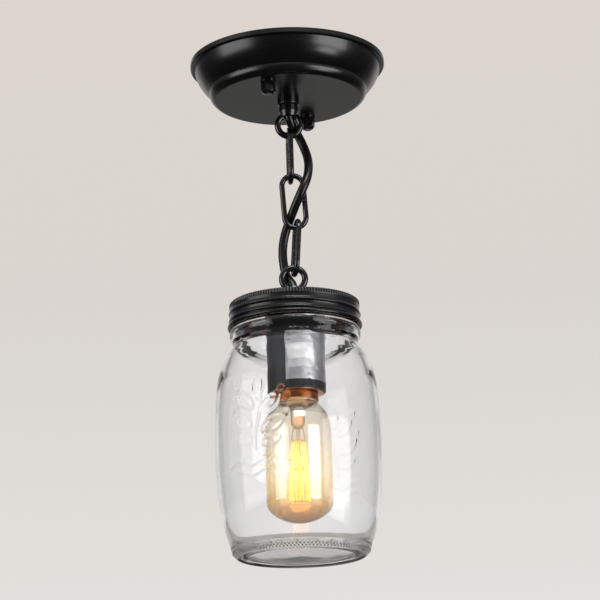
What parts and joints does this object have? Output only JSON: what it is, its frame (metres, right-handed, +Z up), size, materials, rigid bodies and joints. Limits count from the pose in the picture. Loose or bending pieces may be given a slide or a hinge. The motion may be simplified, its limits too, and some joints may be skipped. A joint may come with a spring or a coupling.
{
  "type": "jar pendant light",
  "caption": "Pendant light: glass canning jar shade with screw band, tubular filament bulb and lampholder, hung by chain and cord from a round ceiling canopy.",
  "frame": {"origin": "centre of the canopy's open edge, in the ceiling plane", "axes": "+Z up, out of the ceiling side of the canopy; the lamp hangs down -Z; +Y is away from the picture's camera, +X is to its right"},
  "size_m": [0.132, 0.132, 0.3401],
  "materials": {
    "canopy_black": "satin black powder coat",
    "hardware_black": "gloss black enamel",
    "zinc_steel": "zinc plate",
    "ground_green": "green dye over zinc",
    "bushing": "black nylon",
    "cord_black": "smooth black PVC jacket",
    "band_black": "satin black coat on tinplate",
    "gasket": "red sealing compound",
    "jar_glass": "clear pressed glass",
    "phenolic": "moulded black phenolic",
    "silver_foil": "blank aluminium foil patch",
    "shell_copper": "copper flash on brass",
    "contact_brass": "bright brass",
    "base_brass": "rolled brass",
    "base_insulator": "black vitrite",
    "solder": "tin solder",
    "bulb_amber": "amber tinted glass",
    "stem_glass": "clear glass",
    "filament": "glowing coil",
    "support_wire": "drawn molybdenum"
  },
  "bodies": {
    "ceiling_mount": {"canopy": "canopy_black", "crossbar": "zinc_steel", "ground_screw": "ground_green", "canopy_studs": "zinc_steel", "canopy_cap_nuts": "hardware_black", "canopy_check_ring": "hardware_black", "canopy_loop": "hardware_black", "canopy_nipple": "zinc_steel", "canopy_lock_washer": "zinc_steel", "canopy_locknut": "zinc_steel", "cord_bushing": "bushing", "lamp_cord": "cord_black"},
    "upper_link": {"chain_link_1": "hardware_black"},
    "middle_link": {"chain_link_2": "hardware_black"},
    "lower_link": {"chain_link_3": "hardware_black"},
    "pendant": {"lid_loop": "hardware_black", "lid_check_ring": "hardware_black", "lid_nipple": "zinc_steel", "lid_lock_washer": "zinc_steel", "lid_locknut": "zinc_steel", "lid_disc": "band_black", "lid_gasket": "gasket", "holder_cap": "phenolic", "holder_body": "phenolic", "holder_screw_shell": "shell_copper", "holder_contact": "contact_brass", "terminal_screws": "contact_brass"},
    "band": {"screw_band": "band_black"},
    "jar": {"glass_jar": "jar_glass"},
    "bulb": {"bulb_base": "base_brass", "bulb_insulator": "base_insulator", "bulb_contact": "solder", "bulb_glass": "bulb_amber", "bulb_stem": "stem_glass", "bulb_filament": "filament", "filament_supports": "support_wire"}
  },
  "joints": [
    {"name": "upper_link_swing", "type": "hinge", "parent": "ceiling_mount", "child": "upper_link", "pos_m": [0, 0, -0.05215], "axis": [1, 0, 0], "range_deg": [-35, 35], "deforming": ["lamp_cord"]},
    {"name": "middle_link_swing", "type": "hinge", "parent": "upper_link", "child": "middle_link", "pos_m": [0, 0, -0.08465], "axis": [0, 1, 0], "range_deg": [-35, 35], "deforming": ["lamp_cord"]},
    {"name": "lower_link_swing", "type": "hinge", "parent": "middle_link", "child": "lower_link", "pos_m": [0.00513, 0, -0.11667], "axis": [1, 0, 0], "range_deg": [-35, 35], "deforming": ["lamp_cord"]},
    {"name": "pendant_swing", "type": "hinge", "parent": "lower_link", "child": "pendant", "pos_m": [0.001, 0, -0.14965], "axis": [0, 1, 0], "range_deg": [-35, 35], "deforming": ["lamp_cord"]},
    {"name": "band_turn", "type": "hinge", "parent": "pendant", "child": "band", "pos_m": [0, 0, -0.179], "axis": [0, 0, 1], "range_deg": [0, 450]},
    {"name": "jar_lower", "type": "slide", "parent": "pendant", "child": "jar", "axis": [0, 0, -1], "range_m": [0, 0.00635]},
    {"name": "bulb_unscrew", "type": "slide", "parent": "pendant", "child": "bulb", "axis": [0, 0, -1], "range_m": [0, 0.016]}
  ],
  "couplings": [
    {"joint": "jar_lower", "follows": "band_turn", "m_per_rad": 0.000808}
  ]
}
